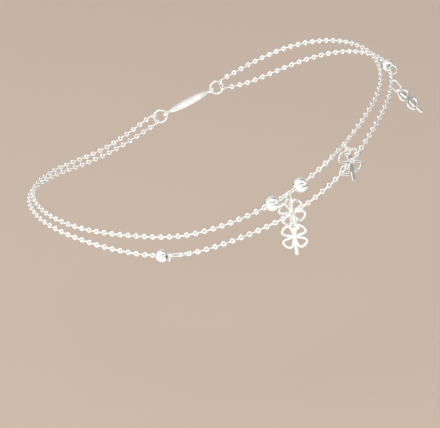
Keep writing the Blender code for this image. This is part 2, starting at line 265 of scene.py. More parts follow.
ROUTES = {
    "upper_chain": [
        (-220, 0.882, -0.468),
        (-200, 1.000, -0.506),
        (-180, 1.075, -0.506),
        (-160, 1.025, -0.506),
        (-140, 0.912, -0.503),
        (-120, 0.838, -0.471),
        (-100, 0.838, -0.416),
        (-80, 0.850, -0.309),
        (-60, 0.900, -0.147),
        (-40, 0.963, 0.069),
        (-20, 1.000, 0.234),
        (0, 1.050, 0.347),
        (20, 1.050, 0.405),
        (40, 0.988, 0.361),
        (60, 0.912, 0.217),
        (75, 0.863, 0.058),
    ],
    "lower_chain": [
        (-220, 0.910, -0.543),
        (-200, 1.025, -0.566),
        (-180, 1.100, -0.549),
        (-160, 1.050, -0.558),
        (-140, 0.925, -0.587),
        (-120, 0.850, -0.595),
        (-100, 0.838, -0.555),
        (-80, 0.863, -0.439),
        (-60, 0.938, -0.275),
        (-40, 1.012, -0.058),
        (-20, 1.050, 0.147),
        (0, 1.113, 0.275),
        (20, 1.150, 0.324),
        (40, 1.075, 0.246),
        (60, 0.938, 0.058),
        (75, 0.870, -0.072),
    ],
}


def polar(angle, radius_share, height_share):
    """A point round the Z axis, in millimetres."""
    turn = math.radians(angle)
    radius = radius_share * LOOP_RADIUS
    return Vector((radius * math.cos(turn), radius * math.sin(turn), height_share * LOOP_RISE))


# %% The clasp's own directions
back_ring = polar(*CLASP_BACK_RING)
front_ring = polar(*CLASP_FRONT_RING)
clasp_middle = (back_ring + front_ring) / 2
clasp_axis = (front_ring - back_ring).normalized()
clasp_out = Vector((clasp_middle.x, clasp_middle.y, 0.0))
clasp_out = (clasp_out - clasp_axis * clasp_out.dot(clasp_axis)).normalized()
clasp_up = clasp_axis.cross(clasp_out)


def end_link_frames(chain):
    """For each end of a chain, the middle of its end link and the way out of the clasp ring there."""
    side = 1 if chain == "upper_chain" else -1
    frames = []
    for ring, away in ((back_ring, -1), (front_ring, 1)):
        turn = math.radians(END_LINK_SPREAD)
        out = clasp_axis * (away * math.cos(turn)) + clasp_up * (side * math.sin(turn))
        frames.append((ring + out * (CLASP_RING_DIAMETER / 2), out))
    return frames


print("from one clasp ring to the other, mm:", round((front_ring - back_ring).length, 1))

# %% [markdown]
# ## Walking along a strand
# A natural cubic spline through the route's points bends as evenly as a hanging chain does. It is
# walked in steps of a twentieth of a millimetre, and the steps' lengths are summed, so that every
# link, ball and ring can be given a place by its distance along the strand.

# %% A smooth path with even steps
PATH_STEP = 0.05
CHORD_REACH = 0.2


def smooth_path(points, step):
    """Points about a step apart on the natural cubic spline through the given points."""
    pts = np.array([tuple(p) for p in points])
    gaps = np.linalg.norm(np.diff(pts, axis=0), axis=1)
    knots = np.concatenate([[0.0], np.cumsum(gaps)])
    count = len(pts)
    matrix = np.eye(count)
    target = np.zeros((count, 3))
    for i in range(1, count - 1):
        matrix[i, i - 1 : i + 2] = gaps[i - 1], 2 * (gaps[i - 1] + gaps[i]), gaps[i]
        target[i] = 6 * ((pts[i + 1] - pts[i]) / gaps[i] - (pts[i] - pts[i - 1]) / gaps[i - 1])
    bend = np.linalg.solve(matrix, target)
    at = np.linspace(0.0, knots[-1], int(knots[-1] / step) + 1)
    k = np.clip(np.searchsorted(knots, at, side="right") - 1, 0, count - 2)
    b = ((at - knots[k]) / gaps[k])[:, None]
    a = 1 - b
    curve = (a**3 - a) * bend[k] + (b**3 - b) * bend[k + 1]
    return a * pts[k] + b * pts[k + 1] + curve * (gaps[k] ** 2 / 6)[:, None]


class Strand:
    """A chain's path, its length so far at each point, and its angle round the Z axis there."""

    def __init__(self, chain):
        (back, back_out), (front, front_out) = end_link_frames(chain)
        reach = END_LINK_DIAMETER / 2
        rows = [polar(*row) for row in ROUTES[chain]]
        points = [back + back_out * reach, *rows, front + front_out * reach]
        self.path = smooth_path(points, PATH_STEP)
        steps = np.linalg.norm(np.diff(self.path, axis=0), axis=1)
        self.along = np.concatenate([[0.0], np.cumsum(steps)])
        turns = np.degrees(np.unwrap(np.arctan2(self.path[:, 1], self.path[:, 0])))
        route_middle = (ROUTES[chain][0][0] + ROUTES[chain][-1][0]) / 2
        self.turns = turns - 360 * round((turns[len(turns) // 2] - route_middle) / 360)

    def distance_at(self, angle, onward=0.0):
        """How far along the path the point at this angle lies, or a point onward from it."""
        i = int(np.argmin(np.abs(self.turns - angle))) + round(onward / PATH_STEP)
        return float(self.along[i])

    def point(self, distance):
        """The point this far along the path."""
        return Vector([np.interp(distance, self.along, self.path[:, axis]) for axis in range(3)])

    def direction(self, distance):
        """The path's direction this far along it."""
        return (self.point(distance + CHORD_REACH) - self.point(distance - CHORD_REACH)).normalized()


strands = {chain: Strand(chain) for chain in ROUTES}
for chain, strand in strands.items():
    print(chain, "is", round(float(strand.along[-1]), 1), "mm long")

# %% [markdown]
# ## How things hang
# Each drop hangs from its chain by an oval ring. Three angles say how a ring or a clover hangs: the
# way that it faces round the Z axis, how far its lower end leans outward, and how far it tilts
# toward the front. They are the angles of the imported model, so the pieces made here lie where its
# solids lie. A row for a drop holds its number, its chain, the angle of its place, and then how its
# ring hangs and how its clover hangs.

# %% Places of the drops and rings
EYE_PLATE_LENGTH = 1.5
LOWER_BALL_DIAMETER = 3.0
DROP_RING_HEIGHT = 3.1
PAIR_DROP_ANGLE = -58.2
BACK_BALL_ANGLE = -108.0
FRONT_BALL_ANGLE = 14.0
EYE_TO_LOWER_BALL = (EYE_PLATE_LENGTH + LOWER_BALL_DIAMETER) / 2

DROPS = [
    (1, "upper_chain", PAIR_DROP_ANGLE, (-60, -20, 8), (-80, 0, 20)),
    (2, "lower_chain", -58.4, (-60, 6, 2), (-92, 0, 8)),
    (3, "upper_chain", -34.8, (-56, -16, 36), (-65, 9, 9)),
    (4, "lower_chain", 3.6, (-20, 45, 0), (-20, 50, 0)),
]
SIDE_RING_CHAIN = "lower_chain"
SIDE_RINGS = [
    ("side_ring_back", BACK_BALL_ANGLE, EYE_TO_LOWER_BALL, (-100, 95, 0)),
    ("side_ring_front", FRONT_BALL_ANGLE, -EYE_TO_LOWER_BALL, (-35, 95, 0)),
]


def hang_matrix(point, facing, lean, tilt):
    """A placement for what hangs down local -Z, faces local -Y and has its top at the point."""
    turn = Matrix.Rotation(math.radians(facing + 90), 4, "Z")
    turn = turn @ Euler((math.radians(-lean), 0, 0)).to_matrix().to_4x4()
    turn = turn @ Euler((0, math.radians(-tilt), 0)).to_matrix().to_4x4()
    return Matrix.Translation(point * MILLIMETRE) @ turn


def axes_matrix(point, x_axis, z_axis):
    """A placement with its axes along x_axis and z_axis, for a point in millimetres."""
    z = z_axis.normalized()
    x = (x_axis - z * x_axis.dot(z)).normalized()
    turn = Matrix((x, z.cross(x), z)).transposed()
    return Matrix.Translation(point * MILLIMETRE) @ turn.to_4x4()


print("hanging pieces:", len(DROPS), "drops and", len(SIDE_RINGS), "side rings")

# %% [markdown]
# ## The links, each modelled once
# The chain repeats two links of round wire: a small round one, and a long narrow one that joins
# two of them. From the front the round links read as a row of dots, because the ends of two narrow
# links nearly fill each one, and the narrow links read as the thin necks between the dots. Where a
# ring hangs, a wider round link takes the place of a small one, so that the ring's wire passes
# between its neighbours. A link could be a curve with a bevel, but a torus has fewer faces. In edit
# mode its two halves move apart, which stretches the circle into an oval with straight sides. The
# hole of a small round link is pressed to a slot as the chain is drawn tight, so its inner vertices
# are scaled toward the strand. Links repeat over four hundred times, so each has only a few dozen
# faces, and smooth shading does the rest.

# %% Sizes and shape of a link
ROUND_INSIDE = 0.54
ROUND_WIRE = 0.42
NARROW_WIRE = 0.25
NARROW_INSIDE = 0.47
EYE_INSIDE = 0.92
EYE_WIRE = 0.34
LINK_SLACK = 0.02
SLOT_SHARE = 0.66
DOT_PITCH = 2.13
LINK_SIDES = 14
WIRE_SIDES = 6
END_LINK_SIDES = 24
END_WIRE_SIDES = 10
LONG_AXIS = 0


def pull_apart(thing, axis, reach):
    """Moves the two halves of a mesh this far apart, in millimetres, each by half of it."""
    for half in (-1, 1):
        select_vertices(thing, lambda place: place[axis] * half > 0)
        step = Vector((0, 0, 0))
        step[axis] = half * mm(reach / 2)
        bpy.ops.transform.translate(value=step)
        bpy.ops.object.mode_set(mode="OBJECT")


def oval_torus(name, length, width, wire, sides, wire_sides):
    """An oval ring lying in the XY plane, its long axis along X, sizes taken outside in mm."""
    deselect()
    bpy.ops.mesh.primitive_torus_add(
        major_segments=sides,
        minor_segments=wire_sides,
        major_radius=mm((width - wire) / 2),
        minor_radius=mm(wire / 2),
    )
    ring = bpy.context.object
    ring.name = name
    if length > width:
        pull_apart(ring, LONG_AXIS, length - width)
    bpy.ops.object.shade_smooth()
    return ring


def round_link(name, inside, wire, sides=LINK_SIDES, wire_sides=WIRE_SIDES):
    """A round link with this inside diameter."""
    outside = inside + 2 * wire
    return oval_torus(name, outside, outside, wire, sides, wire_sides)


# %% The round links
small_link = round_link("small_link", ROUND_INSIDE, ROUND_WIRE)
wire_middle = mm((ROUND_INSIDE + ROUND_WIRE) / 2)
select_vertices(small_link, lambda place: math.hypot(place.x, place.y) < wire_middle)
bpy.ops.transform.resize(value=(1, SLOT_SHARE, 1), center_override=(0, 0, 0))
bpy.ops.object.mode_set(mode="OBJECT")
eye_link = round_link("eye_link", EYE_INSIDE, EYE_WIRE)
end_inside = END_LINK_DIAMETER - END_LINK_WIRE
end_link = round_link("end_link", end_inside, END_LINK_WIRE, END_LINK_SIDES, END_WIRE_SIDES)
print("faces in a link:", len(small_link.data.polygons))

# %% [markdown]
# ## Which link goes where
# The links at the clasp and the eye links under the hanging rings have set places. Between two of
# them goes the whole number of small round links that fits best, and the narrow links between take
# up what is left: a few hundredths of a millimetre each, or two tenths in the shortest stretch. An
# Array modifier on a curve would be quicker, but it can't change a link's size or kind on the way.

# %% Links with a set place
SMALL, NARROW, EYE, END = "small", "narrow", "eye", "end"


def bore_direction(strand, distance, hang):
    """The direction in which a hanging ring's wire goes through the chain."""
    along = strand.direction(distance)
    wire = hang_matrix(strand.point(distance), *hang).to_3x3() @ Vector((0, 1, 0))
    return (wire - along * wire.dot(along)).normalized()


def anchor_links(chain):
    """Links with a set place: (distance along the strand, kind, inside length, way they face)."""
    strand = strands[chain]
    (_, back_out), (_, front_out) = end_link_frames(chain)
    reach = END_LINK_DIAMETER / 2
    anchors = [(-reach, END, end_inside, clasp_out.cross(back_out))]
    anchors.append((float(strand.along[-1]) + reach, END, end_inside, clasp_out.cross(front_out)))
    for _, drop_chain, angle, hang, _ in DROPS:
        if drop_chain == chain:
            distance = strand.distance_at(angle)
            anchors.append((distance, EYE, EYE_INSIDE, bore_direction(strand, distance, hang)))
    for _, angle, onward, hang in SIDE_RINGS:
        if chain == SIDE_RING_CHAIN:
            distance = strand.distance_at(angle, onward)
            anchors.append((distance, EYE, EYE_INSIDE, bore_direction(strand, distance, hang)))
    return sorted(anchors, key=lambda anchor: anchor[0])


for chain in strands:
    print(chain, "has", len(anchor_links(chain)), "links with a set place")


# %% Links in order
def links_in_order(chain):
    """Every link of a strand: (distance along the strand, kind, inside length, way it faces)."""
    anchors = anchor_links(chain)
    links = [anchors[0]]
    for first, last in zip(anchors, anchors[1:]):
        free = last[0] - first[0] - (first[2] + last[2]) / 2
        reach = DOT_PITCH - ROUND_INSIDE
        count = max(0, round((free - reach) / DOT_PITCH))
        reach = (free - count * ROUND_INSIDE) / (count + 1)
        place = first[0] + first[2] / 2 + reach / 2
        for _ in range(count):
            links.append((place, NARROW, reach + LINK_SLACK, None))
            place += (reach + ROUND_INSIDE) / 2
            links.append((place, SMALL, ROUND_INSIDE, None))
            place += (reach + ROUND_INSIDE) / 2
        links.append((place, NARROW, reach + LINK_SLACK, None))
        links.append(last)
        stretch = round(last[0] - first[0], 1)
        print(chain, "stretch of", stretch, "mm:", count, "dots, narrow links", round(reach, 2), "mm")
    return links


# %% [markdown]
# ## How the strand turns about itself
# Neighbouring links stand a quarter turn apart. In the photograph the round links face the camera
# nearly all the way, so each link's turn is counted from facing it. A short list of pairs, an angle
# round the Z axis and a turn in degrees, says how far the round links turn away at a few places.
# Where a ring passes through an eye link, the link has to face along the ring's wire instead, and
# the strand twists a little on both sides of it, as a worn chain does.

# %% Rolls
VIEW_FROM = Vector(CAMERA_PLACE)
ROLLS = {
    "upper_chain": [
        (-178, 16),
        (-105, 14),
        (-85, 4),
        (-66, 4),
        (-50, 12),
        (-43, 14),
        (-27, 12),
        (60, 10),
    ],
    "lower_chain": [
        (-178, 16),
        (-118, 14),
        (-94, 6),
        (-70, 4),
        (-48, 14),
        (-2, 10),
        (26, 10),
        (60, 10),
    ],
}


def carried_normals(strand, distances):
    """A normal at each distance, carried along the strand without turning about it."""
    normals = []
    normal = Vector((0, 0, 1))
    for distance in distances:
        along = strand.direction(distance)
        normal = (normal - along * normal.dot(along)).normalized()
        normals.append(normal.copy())
    return normals


def roll_of(direction, normal, along):
    """The angle in degrees from a carried normal to a direction, about the strand."""
    flat = (direction - along * direction.dot(along)).normalized()
    return math.degrees(math.atan2(normal.cross(flat).dot(along), normal.dot(flat)))


def link_rolls(chain, links, normals):
    """The roll of each link from its carried normal, with a quarter turn more at every other."""
    strand = strands[chain]
    places = np.array([link[0] for link in links])
    facing_camera = []
    for place, normal in zip(places, normals):
        to_camera = VIEW_FROM - strand.point(place)
        facing_camera.append(roll_of(to_camera, normal, strand.direction(place)))
    facing_camera = np.unwrap(facing_camera, period=360)
    turned = {}
    for i, (place, _, _, facing) in enumerate(links):
        if facing is not None:
            turned[i] = roll_of(facing, normals[i], strand.direction(place)) - facing_camera[i]
    for angle, roll in ROLLS[chain]:
        i = 2 * int(np.argmin(np.abs(places[::2] - strand.distance_at(angle))))
        turned.setdefault(i, roll)
    numbers = sorted(turned)
    offsets = [turned[i] - 180 * round(turned[i] / 180) for i in numbers]
    smooth = facing_camera + np.interp(range(len(links)), numbers, offsets)
    return [float(roll) + 90 * (i % 2) for i, roll in enumerate(smooth)]


# %% [markdown]
# ## Stringing the links
# Each link is a copy with its own mesh, set between its neighbours with its long axis along the
# strand. Narrow links differ a little from stretch to stretch, so each length gets its own model.
# All of a strand's copies are then joined, because a chain is one piece.

# %% Copy and join
def copy_of(model, name, placement):
    """A copy of an object with its own mesh, whose place is in the mesh."""
    data = model.data.copy()
    data.transform(placement)
    made = bpy.data.objects.new(name, data)
    bpy.context.scene.collection.objects.link(made)
    return made


def join(name, pieces):
    """One object out of several, with its place in its mesh."""
    pick(*pieces)
    bpy.ops.object.join()
    whole = bpy.context.object
    whole.name = name
    whole.data.name = name
    return whole


def narrow_models(links):
    """A narrow link for each inside length that a strand uses."""
    models = {}
    width = NARROW_INSIDE + 2 * NARROW_WIRE
    for _, kind, inside, _ in links:
        size = round(inside, 4)
        if kind == NARROW and size not in models:
            length = size + 2 * NARROW_WIRE
            models[size] = oval_torus("narrow", length, width, NARROW_WIRE, LINK_SIDES, WIRE_SIDES)
    return models


# %% Build both strands
def string_links(chain, name):
    """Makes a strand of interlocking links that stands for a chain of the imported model."""
    strand = strands[chain]
    links = links_in_order(chain)
    normals = carried_normals(strand, [link[0] for link in links])
    rolls = link_rolls(chain, links, normals)
    narrow = narrow_models(links)
    models = {SMALL: small_link, EYE: eye_link, END: end_link}
    pieces = []
    for i, (distance, kind, inside, _) in enumerate(links):
        model = narrow[round(inside, 4)] if kind == NARROW else models[kind]
        along = strand.direction(distance)
        facing = Matrix.Rotation(math.radians(rolls[i]), 3, along) @ normals[i]
        place = strand.point(distance)
        if kind == END:
            place, along = end_link_frames(chain)[0 if i == 0 else 1]
            facing = clasp_out.cross(along)
        pieces.append(copy_of(model, f"{name}_{i}", axes_matrix(place, along, facing)))
    for model in narrow.values():
        bpy.data.objects.remove(model)
    whole = join(name, pieces)
    whole.data.materials.clear()
    whole.data.materials.append(chain_silver)
    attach(whole, "root")
    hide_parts(chain)
    print(name, "has", len(links), "links")


string_links("upper_chain", "upper_strand")
string_links("lower_chain", "lower_strand")
for model in (small_link, eye_link, end_link):
    bpy.data.objects.remove(model)

# %% [markdown]
# ## Jump rings
# A jump ring is a length of round wire bent into a ring, with its two ends brought together. The
# cut shows as a fine line. A torus has no cut, so a disc is spun almost all the way round instead,
# which leaves both ends of the wire closed. The cut is turned to one side of the ring, where a
# maker puts it, and the oval ones are then pulled longer.

# %% Make a jump ring
CUT_WIDTH = 0.05
RING_STEPS = 44
RING_WIRE_SIDES = 14
RING_SHARP_ANGLE = 40
UPRIGHT_AXIS = 2


def jump_ring(name, size, wire, cut_turn, placement):
    """A cut ring hanging down -Z in its YZ plane from the origin: (height, width) to wire middles."""
    height, width = size
    radius = width / 2
    deselect()
    bpy.ops.mesh.primitive_circle_add(
        vertices=RING_WIRE_SIDES,
        radius=mm(wire / 2),
        fill_type="NGON",
        location=(0, mm(radius), 0),
    )
    ring = bpy.context.object
    ring.name = name
    bpy.ops.object.transform_apply(location=True, rotation=True, scale=True)
    bpy.ops.object.mode_set(mode="EDIT")
    bpy.ops.mesh.select_all(action="SELECT")
    cut = CUT_WIDTH / radius
    bpy.ops.mesh.spin(
        steps=RING_STEPS,
        angle=2 * math.pi - cut,
        center=(0, 0, 0),
        axis=(1, 0, 0),
    )
    bpy.ops.mesh.select_all(action="SELECT")
    bpy.ops.mesh.normals_make_consistent(inside=False)
    bpy.ops.object.mode_set(mode="OBJECT")
    ring.data.transform(Matrix.Rotation(math.radians(cut_turn), 4, "X"))
    if height > width:
        pull_apart(ring, UPRIGHT_AXIS, height - width)
    ring.data.transform(Matrix.Translation((0, 0, -mm(height / 2))))
    ring.data.transform(placement)
    pick(ring)
    bpy.ops.object.shade_smooth_by_angle(angle=math.radians(RING_SHARP_ANGLE))
    ring.data.materials.append(bright_silver)
    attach(ring, "root")
    return ring


# %% Hang the rings
DROP_RING_WIDTH = 1.9
DROP_RING_WIRE = 0.38
DROP_RING_CUT = 35
SIDE_RING_DIAMETER = 2.0
SIDE_RING_WIRE = 0.3
SIDE_RING_CUT = 60

drop_size = (DROP_RING_HEIGHT, DROP_RING_WIDTH)
drop_tops = {}
for number, chain, angle, ring_hang, _ in DROPS:
    strand = strands[chain]
    top = strand.point(strand.distance_at(angle))
    hanging = hang_matrix(top, *ring_hang)
    ring = jump_ring(f"jump_ring_{number}", drop_size, DROP_RING_WIRE, DROP_RING_CUT, hanging)
    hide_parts(f"drop_ring_{number}")
    drop_tops[number] = top + hanging.to_3x3() @ Vector((0, 0, -DROP_RING_HEIGHT))

side_size = (SIDE_RING_DIAMETER, SIDE_RING_DIAMETER)
for name, angle, onward, hang in SIDE_RINGS:
    strand = strands[SIDE_RING_CHAIN]
    top = strand.point(strand.distance_at(angle, onward))
    hanging = hang_matrix(top, *hang)
    ring = jump_ring(f"{name}_wire", side_size, SIDE_RING_WIRE, SIDE_RING_CUT, hanging)
    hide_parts(name)
print("rings made:", len(drop_tops) + len(SIDE_RINGS))

# %% [markdown]
# ## Polished balls
# The balls are drilled through for the chain, and highly polished. A Boolean would cut the hole
# too, but it leaves long thin faces that spoil the reflections, so each ball starts as a sphere
# whose poles lie on the chain. The caps at its poles are deleted, the two open edges are bridged
# into the drilled hole, and the hole's rims get a small bevel, as a drill leaves after polishing.

# %% Make a ball
BALL_HOLE = 1.5
BALL_SEGMENTS = 48
BALL_RINGS = 28
RIM_BEVEL = 0.09
RIM_BEVEL_STEPS = 3
RIM_DEPTH = 0.01
BALL_SHARP_ANGLE = 50


def drilled_ball(name, chain, diameter, node):
    """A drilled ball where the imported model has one, along its chain."""
    low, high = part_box(node)
    middle = (low + high) / 2 / MILLIMETRE
    strand = strands[chain]
    gaps = np.linalg.norm(strand.path - np.array(middle), axis=1)
    distance = float(strand.along[int(np.argmin(gaps))])
    deselect()
    bpy.ops.mesh.primitive_uv_sphere_add(
        segments=BALL_SEGMENTS,
        ring_count=BALL_RINGS,
        radius=mm(diameter / 2),
    )
    ball = bpy.context.object
    ball.name = name
    hole = mm(BALL_HOLE / 2)
    select_vertices(ball, lambda place: math.hypot(place.x, place.y) < hole)
    bpy.ops.mesh.delete(type="VERT")
    bpy.ops.mesh.select_all(action="SELECT")
    bpy.ops.mesh.region_to_loop()
    bpy.ops.mesh.bridge_edge_loops()
    bpy.ops.object.mode_set(mode="OBJECT")
    rim = max(vertex.co.z for vertex in ball.data.vertices) - mm(RIM_DEPTH)
    for end in (-1, 1):
        select_vertices(ball, lambda place: place.z * end > rim)
        bpy.ops.mesh.select_mode(type="EDGE")
        bpy.ops.mesh.bevel(offset=mm(RIM_BEVEL), segments=RIM_BEVEL_STEPS, affect="EDGES")
        bpy.ops.object.mode_set(mode="OBJECT")
    bpy.ops.object.mode_set(mode="EDIT")
    bpy.ops.mesh.select_all(action="SELECT")
    bpy.ops.mesh.normals_make_consistent(inside=False)
    bpy.ops.mesh.select_mode(type="VERT")
    bpy.ops.object.mode_set(mode="OBJECT")
    along = strand.direction(distance)
    ball.data.transform(axes_matrix(strand.point(distance), Vector((0, 0, 1)), along))
    bpy.ops.object.shade_smooth_by_angle(angle=math.radians(BALL_SHARP_ANGLE))
    ball.data.materials.append(bright_silver)
    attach(ball, "root")
    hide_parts(node)
    print(name, "faces:", len(ball.data.polygons))


# %% The four balls
UPPER_BALL_DIAMETER = 3.5

drilled_ball("upper_back_ball", "upper_chain", UPPER_BALL_DIAMETER, "ball_upper_back")
drilled_ball("upper_front_ball", "upper_chain", UPPER_BALL_DIAMETER, "ball_upper_front")
drilled_ball("lower_back_ball", "lower_chain", LOWER_BALL_DIAMETER, "ball_lower_back")
drilled_ball("lower_front_ball", "lower_chain", LOWER_BALL_DIAMETER, "ball_lower_front")

# %% [markdown]
# ## The clover's wires
# A clover is one small casting: four leaves of round wire, a stem that widens to its rounded end,
# and an eyelet between the two upper leaves. It could be cut out of a plate, but then its edges
# would be square, so it starts as wires. The leaves and the eyelet are Bezier circles and the neck
# and the stem are Bezier curves, each with its points moved to the outline and a round bevel.

# %% Bend a wire
WIRE_CURVE_STEPS = 5
WIRE_BEVEL_STEPS = 4


def round_wire(name, points, wire, closed, widths=None):
    """A smooth round wire through points in millimetres, as a mesh."""
    deselect()
    if closed:
        bpy.ops.curve.primitive_bezier_circle_add(radius=mm(1))
    else:
        bpy.ops.curve.primitive_bezier_curve_add(radius=mm(1))
    wire_object = bpy.context.object
    wire_object.name = name
    spline = wire_object.data.splines[0]
    spline.bezier_points.add(len(points) - len(spline.bezier_points))
    for i, (point, knot) in enumerate(zip(points, spline.bezier_points)):
        knot.co = [mm(c) for c in point]
        knot.handle_left_type = knot.handle_right_type = "AUTO"
        knot.radius = widths[i] if widths else 1.0
    spline.use_cyclic_u = closed
    spline.resolution_u = WIRE_CURVE_STEPS
    wire_object.data.bevel_depth = mm(wire / 2)
    wire_object.data.bevel_resolution = WIRE_BEVEL_STEPS
    wire_object.data.use_fill_caps = not closed
    bpy.ops.object.convert(target="MESH")
    return bpy.context.object


# %% The leaves
LEAF_LENGTH = 3.17
LEAF_WIDTH = 2.4
CLOVER_WIRE = 0.54
POLISH_LOSS = 0.08
LEAF_TURNS = (45, 135, 225, 315)
LEAF_OUTLINE = [
    (0.10, 0.10),
    (0.28, 0.40),
    (0.50, 0.76),
    (0.71, 0.96),
    (0.86, 0.95),
    (0.95, 0.70),
    (0.99, 0.34),
]


def leaf_points(turn_degrees):
    """The outline of one leaf's wire, turned about the clover's middle."""
    upper = [(u * LEAF_LENGTH, v * LEAF_WIDTH / 2) for u, v in LEAF_OUTLINE]
    lower = [(u, -v) for u, v in reversed(upper)]
    turn = math.radians(turn_degrees)
    points = []
    for u, v in upper + lower:
        x = u * math.cos(turn) - v * math.sin(turn)
        z = u * math.sin(turn) + v * math.cos(turn)
        points.append((x, 0.0, z))
    return points


# The leaves' wire starts thicker by what the polishing takes away later
leaf_wire = CLOVER_WIRE + POLISH_LOSS
clover_parts = [round_wire(f"leaf_{turn}", leaf_points(turn), leaf_wire, True) for turn in LEAF_TURNS]
print("leaves bent:", len(clover_parts))

# %% Neck, stem, eyelet and the two round masses
CLOVER_HUB = 1.0
NECK_WIRE = 0.42
STEM_LENGTH = 4.8
STEM_WIDTH = 0.86
STEM_MIDWAY_SHARE = 0.85
EYELET_HEIGHT = 2.75
EYELET_DIAMETER = 1.4
EYELET_WIRE = 0.4
EYELET_POINTS = 8
MASS_SEGMENTS = 24
MASS_RINGS = 16

eyelet_radius = EYELET_DIAMETER / 2
stem_end = STEM_LENGTH - STEM_WIDTH / 2
neck = [(0, 0, 0), (0, 0, EYELET_HEIGHT - eyelet_radius)]
clover_parts.append(round_wire("neck", neck, NECK_WIRE, False))
stem = [(0, 0, 0), (0, 0, -stem_end / 2), (0, 0, -stem_end)]
stem_widths = [CLOVER_WIRE / STEM_WIDTH, STEM_MIDWAY_SHARE, 1.0]
clover_parts.append(round_wire("stem", stem, STEM_WIDTH, False, stem_widths))
eyelet = []
for i in range(EYELET_POINTS):
    turn = 2 * math.pi * i / EYELET_POINTS
    height = EYELET_HEIGHT + eyelet_radius * math.sin(turn)
    eyelet.append((eyelet_radius * math.cos(turn), 0, height))
clover_parts.append(round_wire("eyelet", eyelet, EYELET_WIRE, True))
for size, height in ((CLOVER_HUB, 0.0), (STEM_WIDTH, -stem_end)):
    deselect()
    bpy.ops.mesh.primitive_uv_sphere_add(
        segments=MASS_SEGMENTS,
        ring_count=MASS_RINGS,
        radius=mm(size / 2),
        location=(0, 0, mm(height)),
    )
    bpy.ops.object.transform_apply(location=True, rotation=True, scale=True)
    clover_parts.append(bpy.context.object)
print("pieces in a clover before it is cast:", len(clover_parts))

# %% [markdown]
# ## From wires to a casting
# A clover's front and back are flat, so each face mirrors one tone, while its rounded edges mirror
# others. To get there, the joined wires are made deeper, and what lies past the casting's thickness
# is scaled flat onto its face. Boolean unions would leave sharp creases where the wires cross. A
# voxel remesh melts them together instead, with the soft fillets that a casting has where they
# meet, and a few rounds of smoothing stand for the polishing. Four copies then hang from the rings.

# %% Flatten, melt and polish
CASTING_THICKNESS = 0.5
CASTING_DEPTH_SCALE = 1.5
CASTING_VOXEL = 0.07
POLISH_STRENGTH = 0.5
POLISH_ROUNDS = 4

clover = join("clover", clover_parts)
clover.data.transform(Matrix.Diagonal((1, CASTING_DEPTH_SCALE, 1, 1)))
half_thickness = mm(CASTING_THICKNESS / 2)
for side in (-1, 1):
    select_vertices(clover, lambda place: place.y * side > half_thickness)
    bpy.ops.transform.resize(value=(1, 0, 1), center_override=(0, side * half_thickness, 0))
    bpy.ops.object.mode_set(mode="OBJECT")
melt = clover.modifiers.new("melt together", "REMESH")
melt.mode = "VOXEL"
melt.voxel_size = mm(CASTING_VOXEL)
bpy.ops.object.modifier_apply(modifier=melt.name)
polish = clover.modifiers.new("polish", "SMOOTH")
polish.factor = POLISH_STRENGTH
polish.iterations = POLISH_ROUNDS
bpy.ops.object.modifier_apply(modifier=polish.name)
bpy.ops.object.shade_smooth()
clover.data.transform(Matrix.Translation((0, 0, -mm(EYELET_HEIGHT))))
clover.data.materials.clear()
clover.data.materials.append(cast_silver)
print("faces in a clover:", len(clover.data.polygons))

# %% Hang the four clovers
for number, _, _, _, clover_hang in DROPS:
    piece = copy_of(clover, f"clover_drop_{number}", hang_matrix(drop_tops[number], *clover_hang))
    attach(piece, "root")
    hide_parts(f"clover_{number}")
bpy.data.objects.remove(clover)
print("clovers hung:", len(DROPS))

# %% [markdown]
# ## The clasp
# The clasp lies on the far side of the loop, between two soldered rings that hold both strands. The
# rings have no cut, so they are plain tori. The body is smooth and closed, with an eye at each end.
# It could be turned from a profile, but it is flatter than it is wide, so a sphere is stretched
# instead. The edge loop round its middle is bevelled into a band and scaled inward, which makes the
# fine groove where its two halves meet.

# %% Clasp rings
CLASP_RING_SIDES = 48
CLASP_RING_WIRE_SIDES = 16

for name, centre in (("clasp_ring_back", back_ring), ("clasp_ring_front", front_ring)):
    outside = CLASP_RING_DIAMETER + CLASP_RING_WIRE
    sides = (CLASP_RING_SIDES, CLASP_RING_WIRE_SIDES)
    ring = oval_torus(f"{name}_wire", outside, outside, CLASP_RING_WIRE, *sides)
    ring.data.transform(axes_matrix(centre, clasp_axis, clasp_out))
    ring.data.materials.append(bright_silver)
    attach(ring, "root")
    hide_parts(name)
    print(ring.name, "faces:", len(ring.data.polygons))

# %% Clasp body
CLASP_WIDTH = 3.0
CLASP_THICKNESS = 1.8
CLASP_EYE_DIAMETER = 1.6
CLASP_SEGMENTS = 40
CLASP_RINGS = 24
SEAM_REACH = 0.05
GROOVE_WIDTH = 0.22
GROOVE_STEPS = 4
GROOVE_REACH = 0.07
GROOVE_DEPTH_SHARE = 0.9

clasp_reach = (front_ring - back_ring).length / 2 - CLASP_RING_DIAMETER / 2
body_length = 2 * clasp_reach - CLASP_EYE_DIAMETER
deselect()
bpy.ops.mesh.primitive_uv_sphere_add(segments=CLASP_SEGMENTS, ring_count=CLASP_RINGS, radius=0.5)
clasp_body = bpy.context.object
clasp_body.scale = (mm(CLASP_WIDTH), mm(CLASP_THICKNESS), mm(body_length))
bpy.ops.object.transform_apply(location=True, rotation=True, scale=True)
clasp_body.data.transform(Matrix.Rotation(math.radians(90), 4, "Y"))
select_vertices(clasp_body, lambda place: abs(place.x) < mm(SEAM_REACH))
bpy.ops.mesh.select_mode(type="EDGE")
bpy.ops.mesh.bevel(offset=mm(GROOVE_WIDTH), segments=GROOVE_STEPS, affect="EDGES")
bpy.ops.object.mode_set(mode="OBJECT")
select_vertices(clasp_body, lambda place: abs(place.x) < mm(GROOVE_REACH))
bpy.ops.transform.resize(
    value=(1, GROOVE_DEPTH_SHARE, GROOVE_DEPTH_SHARE),
    center_override=(0, 0, 0),
)
bpy.ops.object.mode_set(mode="OBJECT")
bpy.ops.object.shade_smooth()
